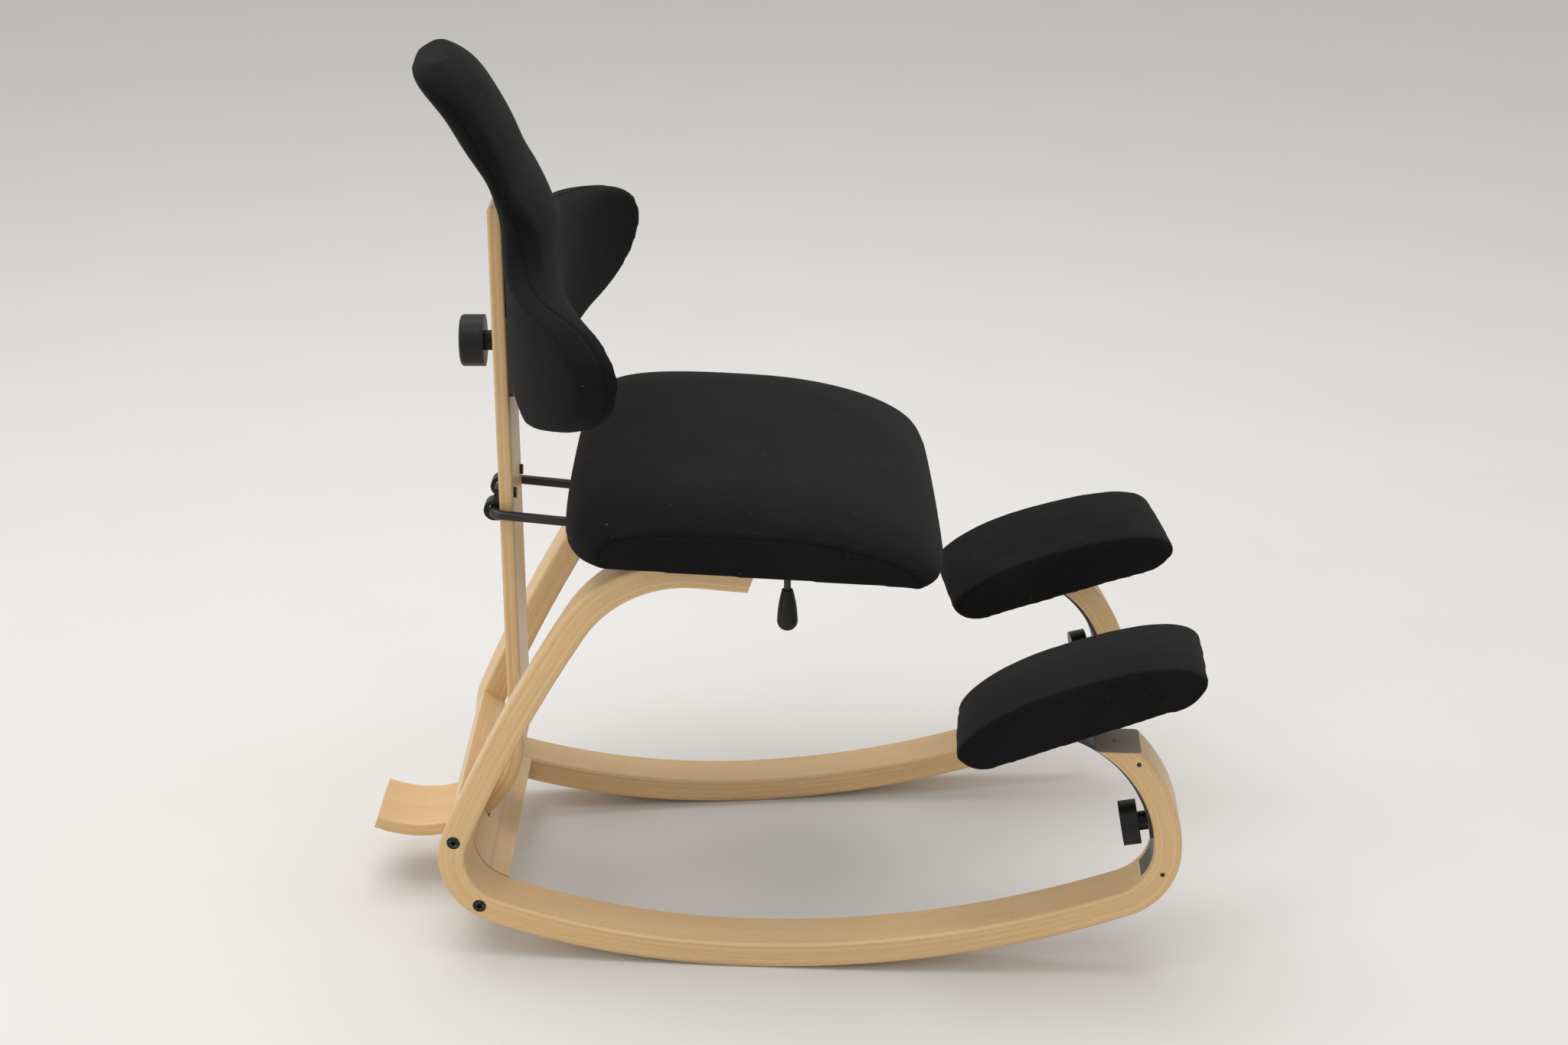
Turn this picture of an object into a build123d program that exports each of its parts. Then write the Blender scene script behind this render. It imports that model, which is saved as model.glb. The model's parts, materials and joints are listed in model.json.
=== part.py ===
from build123d import *
import os
from math import asin, cos, degrees, radians, sin, sqrt, tan

os.makedirs("parts", exist_ok=True)

# Rocking kneeling chair with a backrest. Millimetres, +X forward, +Y to the sitter's left, +Z up.
# The origin is on the floor, midway between the runners, where they touch it.

# Runners: two bent laminated beams, toed out to the front
toe = 4.38
runner_y = 187.0
runner_width = 56.0
runner_thick = 28.0
runner_round = 4.0
sole_front = 1100.0
sole_rear = 850.0
front_reach = 370.0
front_low_radius = 66.0
front_high_radius = 145.0
front_end_z = 262.0
front_high_turn = 66.0
rear_reach = 239.0
rear_radius = 62.0
leg_heading = 66.0
leg_radius = 1720.0
leg_turn = 9.0
shoulder_radius = 141.0
seat_pitch = 4.0
arm_end = 14.0
arm_spare = 60.0
arm_slant = 20.0
landing_back = -90.0

# Rear cross panel and its bolts
panel_start = 146.0
panel_end = 255.0
bolt_angles = (160.0, 236.6)
bolt_dia = 8.0
bolt_head = 14.0
bolt_head_deep = 5.0
bolt_in_panel = 36.0
loose = 0.15

# Back post: one bent strip with a short tail
post_behind = 6.0
post_width = 95.0
post_thick = 15.0
post_top = 772.0
post_bend = 107.0
post_lift = 66.1759
tail_radius = 130.0
tail_reach = 50.0
post_round = 3.0
pivot_angle = -59.0
pivot_dia = 8.0
pivot_in_panel = 18.0
window_side = 1.5
window_turn = 25.0
window_room = 2.6
running = 0.05

# Rod that links the post to the seat, and its guides
rod_dia = 10.0
rod_y = 56.0
rod_back = 13.0
rod_z = 447.0
rod_front_x = 82.0
rod_bend = 8.0
guide_back_x = -110.0
guide_front_x = -40.0
guide_width = 40.0
guide_under = 13.0
guide_screw_dia = 4.5
guide_screw_head = 9.0
guide_screw_in = 9.0
guide_screw_edge = 6.0
guide_round = 4.0
saddle_room = 1.6
saddle_wall = 4.6
saddle_y = 36.0
saddle_width = 17.0
saddle_tab = 5.0
saddle_tab_top = 24.0
saddle_bolt_dia = 6.0
saddle_bolt_head = 11.0
saddle_bolt_head_deep = 3.0
saddle_bolt_z = 17.0
screw_head_deep = 2.4

# Soft pads: steps across give the share of the width, of the corner's depth and of the crown's rise.
# A profile gives, as shares of length and crown, the rear tip, its rise and reach, the peak's place,
# and the front's reach, rise and tip.
seat_steps = ((1.0, 1.0, 0.0), (0.95, 0.5, 0.42), (0.82, 0.17, 0.78), (0.5, 0.03, 0.96))
knee_steps = ((1.0, 1.0, 0.0), (0.95, 0.45, 0.25), (0.82, 0.15, 0.52), (0.5, 0.03, 0.85))
round_share = 0.29

# Seat
seat_x = 13.0
seat_half_len = 193.0
seat_half_wide = 247.0
seat_crown = 74.0
seat_side = 42.0
seat_rear_corner = 43.0
seat_front_corner = 31.0
seat_feet = (0.05, 0.03)
seat_profile = (0.3, 0.9, 0.16, 0.5, 0.8, 0.5, 0.1)
board_thick = 12.0
board_half_len = 157.0
board_half_wide = 222.0
board_round = 45.0
seat_bolt_s = (-30.0, -2.0)
seat_bolt_in = 9.0

# Lever that locks the rod
lever_x = 47.0
lever_z = 434.0
lever_dia = 7.0
lever_hand_y = -187.0
lever_bend = 9.0
lever_cheek_y = 80.0
lever_plate = 3.0
lever_foot = 22.0
lever_lug = 9.0
lever_open = 40.0
lever_end = 6.0
cam_radius = 10.0
cam_wide = 12.0
cam_gap = 0.4
grip_top_z = 416.0
grip_low_z = 372.0
grip_dia = 21.0
grip_neck = 11.0
grip_socket = 15.0

# Backrest, shown turned a little on its clamp bolt
clamp_z = 619.0
back_turn = 7.0
slot_low = 581.0
slot_high = 692.0
slot_width = 10.2
neck_tall = 14.0
clamp_dia = 8.0
clamp_head = 16.0
clamp_head_deep = 4.0
washer_dia = 24.0
washer_thick = 2.0
hub_dia = 21.0
hub_long = 10.0
back_knob_dia = 54.0
back_knob_long = 25.0
plate_wide = 100.0
plate_tall = 90.0
plate_thick = 4.0
plate_corner = 10.0
plate_gap = 0.3
back_thick = 56.0
back_bend = 176.0
back_bend_z = 705.0
back_lean = 27.0
wing_wrap = 375.0
wing_depth = 46.0
wing_from = 70.0
wing_full = 180.0
flat_to = 0.3
flat_from = 0.62
side_round = 12.0
side_bulge = 9.0
recess_low = 688.0
recess_high = 796.0
recess_right = -52.0
recess_left_low = 62.0
recess_left_high = 78.0

# Knee pads on arms that slide round the runners' front bends
knee_tilt = 16.6
knee_roll = 3.5
knee_set = {"right": 4.6, "left": -1.3}
knee_forward = 69.8499
knee_inset = 7.2240
knee_plane = 104.5
knee_half_len = 132.0
knee_half_wide = 68.0
knee_crown = 61.0
knee_side = 54.0
knee_corner = 6.0
knee_feet = (0.135, 0.17)
knee_profile = (0.4, 0.62, 0.17, 0.44, 0.79, 0.78, 0.3)
knee_board_thick = 8.0
knee_board_half_len = 86.0
knee_board_half_wide = 51.5
knee_board_round = 34.0
rail_thick = 3.0
rail_width = 34.0
rail_high = 44.0
rail_low = 38.0
slide_gap = 0.3
arm_thick = 3.5
arm_width = 32.0
arm_low = 0.5
arm_high = 74.0
arm_slot = 8.8
arm_slot_low = 3.0
arm_slot_high = 16.0
mount_back = -92.0
mount_front = -24.0
mount_corner = 8.0
mount_screw_x = (14.0, 42.0)
mount_screw_y = (-14.0, 18.0)
mount_inner = 37.0
mount_outer = 39.0
knob_angle = 11.0
stud_dia = 8.0
stud_in = 22.0
stem_dia = 19.5
stem_gap = 0.6
stem_long = 9.0
knee_knob_dia = 46.0
knee_knob_long = 18.0
pin_dia = 5.0
pin_long = 40.0
pin_sunk = 0.5
pin_high = 42.0
pin_high_out = 4.0
pin_low = -21.0
end_hole_in = 86.0

half_thick = runner_thick / 2
cos_toe = cos(radians(toe))
sin_toe = sin(radians(toe))
outward = (-sin_toe, -cos_toe, 0)
runner_plane = Plane(origin=(0, -runner_y, 0), x_dir=(cos_toe, -sin_toe, 0), z_dir=outward)


def on_runner(s, z, out=0.0):
    """A point of the right runner: s along it, z up, out towards its outer side."""
    return (s * cos_toe - out * sin_toe, -runner_y - s * sin_toe - out * cos_toe, z)


def bend(x, z, heading, radius, turn):
    """Where an arc of this radius and turn ends, and its heading there."""
    hand = 1 if turn > 0 else -1
    start = radians(heading)
    stop = radians(heading + turn)
    x = x + hand * radius * (sin(stop) - sin(start))
    z = z + hand * radius * (cos(start) - cos(stop))
    return x, z, heading + turn


def arcs(x, z, heading, steps):
    """Draw arcs that follow each other smoothly, each given as its radius and turn."""
    for radius, turn in steps:
        JernArc((x, z), (cos(radians(heading)), sin(radians(heading))), radius, turn)
        x, z, heading = bend(x, z, heading, radius, turn)
    return x, z, heading


def ring_face(centre, inner, outer, start, stop):
    """A sector of a ring in the sketch that is open."""
    with BuildLine() as outline:
        big = CenterArc(centre, outer, start, stop - start)
        small = CenterArc(centre, inner, start, stop - start)
        Line(big @ 0, small @ 0)
        Line(big @ 1, small @ 1)
    make_face(outline.edges())


def mirrored(shape):
    """The left twin of a right piece."""
    return shape.mirror(Plane.XZ)


def write(shape, name):
    shape.label = name
    export_step(shape, f"parts/{name}.step")


# Centre line of a runner, from the floor contact to the front and to the rear
front_turn = degrees(asin(front_reach / (sole_front - half_thick - front_low_radius)))
front_low_z = sole_front - sqrt((sole_front - half_thick - front_low_radius) ** 2 - front_reach**2)
knee_s = front_reach + front_low_radius - front_high_radius
front_steps = (
    (sole_front - half_thick, front_turn),
    (front_low_radius, 90 - front_turn),
    (front_high_radius, front_high_turn),
)
rear_turn = degrees(asin(rear_reach / (sole_rear - half_thick - rear_radius)))
rear_z = sole_rear - sqrt((sole_rear - half_thick - rear_radius) ** 2 - rear_reach**2)
rear_steps = (
    (sole_rear - half_thick, -rear_turn),
    (rear_radius, leg_heading - (180 - rear_turn)),
    (leg_radius, -leg_turn),
    (shoulder_radius, -seat_pitch - (leg_heading - leg_turn)),
)
shoulder_x, shoulder_z, shoulder_heading = 0.0, half_thick, 180.0
for step_radius, step_turn in rear_steps:
    shoulder_x, shoulder_z, shoulder_heading = bend(
        shoulder_x, shoulder_z, shoulder_heading, step_radius, step_turn
    )

# The seat rests on the plane of the arms' tops
slope = tan(radians(seat_pitch)) / cos_toe
arm_top_z = shoulder_z + half_thick / cos(radians(seat_pitch))


def seat_z(x):
    return arm_top_z - slope * (x - shoulder_x * cos_toe)


seat_dir = Vector(1, 0, -slope).normalized()
seat_up = Vector(slope, 0, 1).normalized()
arm_mid_z = shoulder_z - tan(radians(seat_pitch)) * (arm_end - shoulder_x)
slant = tan(radians(arm_slant))
knee_centre = on_runner(knee_s, front_low_z)
knee_inner = front_high_radius - half_thick
knob_dir = (
    cos_toe * cos(radians(knob_angle)),
    -sin_toe * cos(radians(knob_angle)),
    sin(radians(knob_angle)),
)
knob_plane = Plane(origin=knee_centre, x_dir=outward, z_dir=knob_dir)
bolt_spots = [
    (-rear_reach + rear_radius * cos(radians(a)), rear_z + rear_radius * sin(radians(a)))
    for a in bolt_angles
]


def turned(s, radius, angle):
    """A spot on one of the front bends' circles, in the runner's plane."""
    return (s + radius * cos(radians(angle)), front_low_z + radius * sin(radians(angle)))


pin_spots = [
    turned(knee_s, front_high_radius + pin_high_out, pin_high),
    turned(front_reach, front_low_radius, pin_low),
]
end_hole_s = knee_s + end_hole_in

# Steel strip let into the inner face of a runner's front bend
with BuildPart() as strip:
    with BuildSketch(runner_plane):
        ring_face((knee_s, front_low_z), knee_inner, knee_inner + rail_thick, 0, rail_high)
        low_inner = front_low_radius - half_thick
        ring_face((front_reach, front_low_z), low_inner, low_inner + rail_thick, -rail_low, 0)
    extrude(amount=rail_width / 2, both=True)
rail_strip = strip.part

with BuildPart() as runner:
    with BuildLine(runner_plane) as runner_line:
        arcs(0, half_thick, 0, front_steps)
        arcs(0, half_thick, 180, rear_steps)
        arm_run = arm_end + arm_spare / 3 - shoulder_x
        arm_drop = arm_run * tan(radians(seat_pitch))
        Line((shoulder_x, shoulder_z), (shoulder_x + arm_run, shoulder_z - arm_drop))
    runner_wire = runner_line.wires()[0]
    with BuildSketch(Plane(origin=runner_wire @ 0, x_dir=outward, z_dir=runner_wire % 0)):
        RectangleRounded(runner_width, runner_thick, runner_round)
    sweep(path=runner_wire)
    # The ends: level under the knee pad, slanted under the seat
    with BuildSketch(runner_plane):
        with Locations((knee_s + front_high_radius / 2, front_end_z)):
            Rectangle(2 * front_high_radius, 2 * runner_thick, align=(Align.CENTER, Align.MIN))
        Polygon(
            (arm_end - runner_thick * slant, arm_mid_z - runner_thick),
            (arm_end + arm_spare, arm_mid_z - runner_thick),
            (arm_end + arm_spare, arm_mid_z + runner_thick),
            (arm_end + runner_thick * slant, arm_mid_z + runner_thick),
            align=None,
        )
    extrude(amount=runner_width, both=True, mode=Mode.SUBTRACT)
    # Flat landing for the seat
    with BuildSketch(Plane.XZ):
        Polygon(
            (landing_back, seat_z(landing_back)),
            (arm_spare, seat_z(arm_spare)),
            (arm_spare, seat_z(arm_spare) + runner_thick),
            (landing_back, seat_z(landing_back) + runner_thick),
            align=None,
        )
    extrude(amount=2 * runner_y, mode=Mode.SUBTRACT)
    with BuildSketch(runner_plane.offset(runner_width / 2)):
        with Locations(*bolt_spots):
            Circle(bolt_head / 2 + loose)
    extrude(amount=-bolt_head_deep, mode=Mode.SUBTRACT)
    with BuildSketch(runner_plane):
        with Locations(*bolt_spots):
            Circle(bolt_dia / 2 + loose)
    extrude(amount=runner_width, both=True, mode=Mode.SUBTRACT)
    with BuildSketch(runner_plane.offset(runner_width / 2)):
        with Locations(*pin_spots):
            Circle(pin_dia / 2)
    extrude(amount=-pin_long, mode=Mode.SUBTRACT)
    with BuildSketch(Plane(origin=on_runner(end_hole_s, front_end_z), z_dir=(0, 0, 1))):
        Circle(pin_dia / 2)
    extrude(amount=-runner_thick / 2, mode=Mode.SUBTRACT)
    add(rail_strip, mode=Mode.SUBTRACT)
    with BuildSketch(knob_plane.offset(knee_inner)):
        Circle(stud_dia / 2 + running)
    extrude(amount=stud_in + 1, mode=Mode.SUBTRACT)
    for s in seat_bolt_s:
        x, y, _ = on_runner(s, 0)
        with BuildSketch(Plane(origin=(x, y, seat_z(x)), z_dir=seat_up)):
            Circle(bolt_dia / 2 + loose)
        extrude(amount=2 * runner_thick, both=True, mode=Mode.SUBTRACT)

with BuildPart() as panel_bolt:
    with BuildSketch(runner_plane.offset(runner_width / 2)):
        with Locations(*bolt_spots):
            Circle(bolt_head / 2)
    extrude(amount=-bolt_head_deep)
    with BuildSketch(runner_plane.offset(runner_width / 2)):
        with Locations(*bolt_spots):
            Circle(bolt_dia / 2)
    extrude(amount=-runner_width - bolt_in_panel)
    with BuildSketch(runner_plane.offset(runner_width / 2)):
        with Locations(*bolt_spots):
            RegularPolygon(bolt_dia / 3, 6)
    extrude(amount=-bolt_head_deep * 0.6, mode=Mode.SUBTRACT)

with BuildPart() as runner_pin:
    with BuildSketch(runner_plane.offset(runner_width / 2 - pin_sunk)):
        with Locations(*pin_spots):
            Circle(pin_dia / 2)
    extrude(amount=-pin_long + pin_sunk)

# Rear panel between the runners, with a window for the post's strip
panel_x = -rear_reach * cos_toe + runner_width / 2 * sin_toe
post_x = -rear_reach - post_behind
post_bend_z = rear_z + post_lift
post_centre = (post_x - post_bend, post_bend_z)
pivot_x = post_centre[0] + post_bend * cos(radians(pivot_angle))
pivot_z = post_centre[1] + post_bend * sin(radians(pivot_angle))
inner_near = on_runner(-2 * rear_reach, 0, -runner_width / 2)
inner_far = on_runner(0, 0, -runner_width / 2)

with BuildPart() as rear_panel:
    with BuildSketch(Plane.XZ):
        panel_inner = rear_radius - half_thick
        panel_outer = rear_radius + half_thick
        ring_face((panel_x, rear_z), panel_inner, panel_outer, panel_start, panel_end)
    extrude(amount=runner_y, both=True)
    with BuildSketch(Plane.XY):
        Polygon(
            inner_near[:2],
            inner_far[:2],
            (inner_far[0], -inner_far[1]),
            (inner_near[0], -inner_near[1]),
            align=None,
        )
    extrude(amount=front_end_z, mode=Mode.INTERSECT)
    with BuildSketch(Plane.XZ):
        ring_face(
            post_centre,
            post_bend - post_thick / 2 - window_room,
            post_bend + post_thick / 2 + window_room,
            pivot_angle - window_turn,
            pivot_angle + window_turn,
        )
    extrude(amount=post_width / 2 + window_side, both=True, mode=Mode.SUBTRACT)
    with BuildSketch(Plane.XZ):
        with Locations((pivot_x, pivot_z)):
            Circle(pivot_dia / 2)
    extrude(amount=post_width / 2 + pivot_in_panel, both=True, mode=Mode.SUBTRACT)
    with BuildSketch(runner_plane):
        with Locations(*bolt_spots):
            Circle(bolt_dia / 2 + loose)
    right_holes = extrude(amount=-runner_width / 2 - bolt_in_panel - 1, mode=Mode.PRIVATE)
    add(right_holes, mode=Mode.SUBTRACT)
    add(mirrored(right_holes), mode=Mode.SUBTRACT)

with BuildPart() as post_pin:
    with BuildSketch(Plane.XZ):
        with Locations((pivot_x, pivot_z)):
            Circle(pivot_dia / 2)
    extrude(amount=post_width / 2 + pivot_in_panel, both=True)

# Back post
rod_x = post_x - rod_back
tail_turn = degrees(asin(tail_reach / tail_radius))
with BuildPart() as back_post:
    with BuildSketch(Plane.XZ):
        half_post = post_thick / 2
        ring_face(post_centre, post_bend - half_post, post_bend + half_post, -90, 0)
        tail_centre = (post_centre[0], post_bend_z - post_bend + tail_radius)
        ring_face(tail_centre, tail_radius - half_post, tail_radius + half_post, -90 - tail_turn, -90)
        with Locations((post_x, post_bend_z)):
            Rectangle(post_thick, post_top - post_bend_z, align=(Align.CENTER, Align.MIN))
    extrude(amount=post_width / 2, both=True)
    fillet(back_post.edges().filter_by(Axis.Z), post_round)
    fillet(back_post.edges().filter_by(Axis.Y).group_by(Axis.Z)[-1], post_thick * 0.4)
    with BuildSketch(Plane.YZ.offset(post_x)):
        with Locations((0, (slot_low + slot_high) / 2)):
            SlotOverall(slot_high - slot_low, slot_width, rotation=90)
    extrude(amount=post_thick, both=True, mode=Mode.SUBTRACT)
    with BuildSketch(Plane.YZ.offset(post_x)):
        with Locations((-saddle_y, rod_z + saddle_bolt_z), (saddle_y, rod_z + saddle_bolt_z)):
            Circle(saddle_bolt_dia / 2 + loose)
    extrude(amount=post_thick, both=True, mode=Mode.SUBTRACT)
    with BuildSketch(Plane.XZ):
        with Locations((pivot_x, pivot_z)):
            Circle(pivot_dia / 2 + running)
    extrude(amount=post_width, both=True, mode=Mode.SUBTRACT)

# Link rod: tangent to the circle that its cross bar swings on
swing_x = rod_x - pivot_x
swing_z = rod_z - pivot_z
rod_dir = Vector(swing_z, 0, -swing_x).normalized()
rod_up = Vector(swing_x, 0, swing_z).normalized()
rod_plane = Plane(origin=(rod_x, 0, rod_z), x_dir=rod_dir, z_dir=rod_up)
rod_long = (rod_front_x - rod_x) / rod_dir.X


def rod_at(x):
    return rod_z + (x - rod_x) * rod_dir.Z / rod_dir.X


with BuildPart() as back_rod:
    with BuildLine(rod_plane) as rod_line:
        FilletPolyline((rod_long, -rod_y), (0, -rod_y), (0, rod_y), (rod_long, rod_y), radius=rod_bend)
    rod_wire = rod_line.wires()[0]
    with BuildSketch(Plane(origin=rod_wire @ 0, z_dir=rod_wire % 0)):
        Circle(rod_dia / 2)
    sweep(path=rod_wire)
    fillet(back_rod.edges().group_by(Axis.X)[-1], 1.0)

post_rear = post_x - post_thick / 2
post_front = post_x + post_thick / 2
saddle_bore = rod_dia / 2 + saddle_room
saddle_outer = saddle_bore + saddle_wall
with BuildPart() as rod_saddle:
    for y in (-saddle_y, saddle_y):
        with BuildSketch(Plane.XZ.offset(-y)):
            with Locations((rod_x, rod_z)):
                Circle(saddle_outer)
                Rectangle(post_rear - rod_x, 2 * saddle_outer, align=(Align.MIN, Align.CENTER))
            with Locations((post_rear, rod_z)):
                Rectangle(saddle_tab, saddle_tab_top, align=(Align.MAX, Align.MIN))
                Rectangle(4 * rod_back, 4 * saddle_outer, align=(Align.MIN, Align.CENTER), mode=Mode.SUBTRACT)
            with Locations((rod_x, rod_z)):
                Circle(saddle_bore, mode=Mode.SUBTRACT)
                Rectangle(2 * rod_back, 2 * saddle_bore, align=(Align.MIN, Align.CENTER), mode=Mode.SUBTRACT)
        extrude(amount=saddle_width / 2, both=True)
        with BuildSketch(Plane.YZ.offset(post_rear)):
            with Locations((y, rod_z + saddle_bolt_z)):
                Circle(saddle_bolt_dia / 2)
        extrude(amount=-2 * saddle_tab, mode=Mode.SUBTRACT)

with BuildPart() as saddle_bolts:
    for y in (-saddle_y, saddle_y):
        with BuildSketch(Plane.YZ.offset(post_front)):
            with Locations((y, rod_z + saddle_bolt_z)):
                Circle(saddle_bolt_head / 2)
        extrude(amount=saddle_bolt_head_deep)
        with BuildSketch(Plane.YZ.offset(post_front)):
            with Locations((y, rod_z + saddle_bolt_z)):
                Circle(saddle_bolt_dia / 2)
        extrude(amount=-post_thick - saddle_tab)

guide_screw_y = (guide_screw_edge - guide_width / 2, guide_width / 2 - guide_screw_edge)
with BuildPart() as rod_guide:
    with BuildSketch(Plane.XZ.offset(rod_y - guide_width / 2)):
        Polygon(
            (guide_back_x, rod_at(guide_back_x) - guide_under),
            (guide_front_x, rod_at(guide_front_x) - guide_under),
            (guide_front_x, seat_z(guide_front_x)),
            (guide_back_x, seat_z(guide_back_x)),
            align=None,
        )
    extrude(amount=guide_width)
    fillet(rod_guide.edges().filter_by(Axis.Y).group_by(Axis.Z)[0], guide_round)
    with BuildSketch(Plane(origin=(rod_x, -rod_y, rod_z), z_dir=rod_dir)):
        Circle(rod_dia / 2 + running)
    extrude(amount=rod_long, mode=Mode.SUBTRACT)
    guide_mid = (guide_back_x + guide_front_x) / 2
    guide_low = rod_at(guide_mid) - guide_under
    for dy in guide_screw_y:
        with BuildSketch(Plane.XY.offset(guide_low - guide_under)):
            with Locations((guide_mid, -rod_y + dy)):
                Circle(guide_screw_dia / 2 + loose)
        extrude(amount=6 * guide_under, mode=Mode.SUBTRACT)

screw_low = guide_low - screw_head_deep - 4 * loose
with BuildPart() as guide_screw:
    for dy in guide_screw_y:
        with BuildSketch(Plane.XY.offset(screw_low)):
            with Locations((guide_mid, -rod_y + dy)):
                Circle(guide_screw_head / 2)
        extrude(amount=screw_head_deep)
        with BuildSketch(Plane.XY.offset(screw_low)):
            with Locations((guide_mid, -rod_y + dy)):
                Circle(guide_screw_dia / 2)
        extrude(amount=seat_z(guide_mid) + guide_screw_in - screw_low)


def pillow(middle, direction, stations, profile, feet):
    """A soft pad lofted across its width; a station is across, back, front and crown."""
    rear_tip, rear_rise, rear_reach, peak, front_reach, front_rise, front_tip = profile
    with BuildPart() as body:
        for across, back, front, crown in stations:
            origin = (middle[0], middle[1] + across, middle[2])
            length = front - back

            def spot(along, high):
                return (back + along * length, high * crown)

            front_foot = spot(1 - feet[1], 0)
            rear_foot = spot(feet[0], 0)
            with BuildSketch(Plane(origin=origin, x_dir=direction, z_dir=(0, -1, 0))):
                with BuildLine():
                    Bezier(spot(0, rear_tip), spot(0, rear_rise), spot(rear_reach, 1), spot(peak, 1))
                    Bezier(spot(peak, 1), spot(front_reach, 1), spot(1, front_rise), spot(1, front_tip))
                    front_under = spot(1 - round_share * feet[1], round_share * front_tip)
                    rear_under = spot(round_share * feet[0], round_share * rear_tip)
                    ThreePointArc(spot(1, front_tip), front_under, front_foot)
                    Line(front_foot, rear_foot)
                    ThreePointArc(rear_foot, rear_under, spot(0, rear_tip))
                make_face()
        loft()
    return body.part


def pad_stations(steps, half_wide, half_len, corners, side, crown):
    """Stations of a pad with round corners in plan, lower at its sides than in its middle."""
    half = []
    for share, inset, rise in steps:
        back = inset * corners[0] - half_len
        front = half_len - inset * corners[1]
        half.append((share * half_wide, back, front, side + rise * (crown - side)))
    row = [(-w, back, front, high) for w, back, front, high in half]
    row.append((0, -half_len, half_len, crown))
    row.extend(reversed(half))
    return row


# Seat board, cushion and bolts
seat_middle = (seat_x, 0, seat_z(seat_x))
seat_plane = Plane(origin=seat_middle, x_dir=seat_dir, z_dir=seat_up)
with BuildPart() as seat_board:
    with BuildSketch(seat_plane):
        RectangleRounded(2 * board_half_len, 2 * board_half_wide, board_round)
    extrude(amount=board_thick)
    for s in seat_bolt_s:
        x, y, _ = on_runner(s, 0)
        with BuildSketch(Plane(origin=(x, y, seat_z(x)), z_dir=seat_up)):
            Circle(bolt_dia / 2 + loose)
        right_holes = extrude(amount=seat_bolt_in + 1, mode=Mode.PRIVATE)
        add(right_holes, mode=Mode.SUBTRACT)
        add(mirrored(right_holes), mode=Mode.SUBTRACT)
    add(guide_screw.part, mode=Mode.SUBTRACT)
    add(mirrored(guide_screw.part), mode=Mode.SUBTRACT)

with BuildPart() as seat_cushion:
    seat_corners = (seat_rear_corner, seat_front_corner)
    seat_plan = (seat_half_wide, seat_half_len, seat_corners)
    seat_stations = pad_stations(seat_steps, *seat_plan, seat_side, seat_crown)
    add(pillow(seat_middle, seat_dir, seat_stations, seat_profile, seat_feet))
    with BuildSketch(seat_plane):
        RectangleRounded(2 * board_half_len, 2 * board_half_wide, board_round)
    extrude(amount=board_thick, both=True, mode=Mode.SUBTRACT)

with BuildPart() as seat_bolt:
    for s in seat_bolt_s:
        x, y, _ = on_runner(s, 0)
        under = Plane(origin=(x, y, seat_z(x)), z_dir=seat_up).offset(-runner_thick - loose)
        with BuildSketch(under):
            Circle(bolt_head / 2)
        extrude(amount=-bolt_head_deep)
        with BuildSketch(under):
            Circle(bolt_dia / 2)
        extrude(amount=runner_thick + loose + seat_bolt_in)

# Lever, its bracket under the seat and its cams over the rod
with BuildPart() as lever_bracket:
    with BuildSketch(Plane.XZ):
        Polygon(
            (lever_x - lever_foot, seat_z(lever_x - lever_foot)),
            (lever_x + lever_foot, seat_z(lever_x + lever_foot)),
            (lever_x + lever_foot, seat_z(lever_x + lever_foot) - lever_plate),
            (lever_x - lever_foot, seat_z(lever_x - lever_foot) - lever_plate),
            align=None,
        )
    extrude(amount=lever_cheek_y, both=True)
    with BuildSketch(Plane.XZ):
        Polygon(
            (lever_x - lever_foot, seat_z(lever_x - lever_foot)),
            (lever_x + lever_foot, seat_z(lever_x + lever_foot)),
            (lever_x + lever_lug, lever_z - lever_lug),
            (lever_x - lever_lug, lever_z - lever_lug),
            align=None,
        )
    extrude(amount=lever_cheek_y, both=True)
    with BuildSketch(Plane.XZ):
        Polygon(
            (lever_x - lever_open, seat_z(lever_x - lever_open) - lever_plate),
            (lever_x + lever_open, seat_z(lever_x + lever_open) - lever_plate),
            (lever_x + lever_open, lever_z - 2 * lever_lug),
            (lever_x - lever_open, lever_z - 2 * lever_lug),
            align=None,
        )
    extrude(amount=lever_cheek_y - lever_plate, both=True, mode=Mode.SUBTRACT)
    with BuildSketch(Plane.XZ):
        with Locations((lever_x, lever_z)):
            Circle(lever_dia / 2 + running)
    extrude(amount=2 * lever_cheek_y, both=True, mode=Mode.SUBTRACT)

with BuildPart() as lever_shaft:
    with BuildLine(Plane.YZ.offset(lever_x)) as lever_line:
        FilletPolyline(
            (lever_cheek_y + lever_end, lever_z),
            (lever_hand_y, lever_z),
            (lever_hand_y, grip_top_z - grip_socket),
            radius=lever_bend,
        )
    lever_wire = lever_line.wires()[0]
    with BuildSketch(Plane(origin=lever_wire @ 0, z_dir=lever_wire % 0)):
        Circle(lever_dia / 2)
    sweep(path=lever_wire)

cam_low = lever_z - rod_at(lever_x) - rod_dia / 2 / rod_dir.X - cam_gap
with BuildPart() as lever_cams:
    with BuildSketch(Plane.XZ):
        with Locations((lever_x, lever_z - cam_low + cam_radius)):
            Circle(cam_radius)
        with Locations((lever_x, lever_z)):
            Circle(lever_dia / 2, mode=Mode.SUBTRACT)
    extrude(amount=rod_y + cam_wide / 2, both=True)
    with BuildSketch(Plane.XZ):
        with Locations((lever_x, lever_z)):
            Circle(3 * cam_radius)
    extrude(amount=rod_y - cam_wide / 2, both=True, mode=Mode.SUBTRACT)

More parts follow.
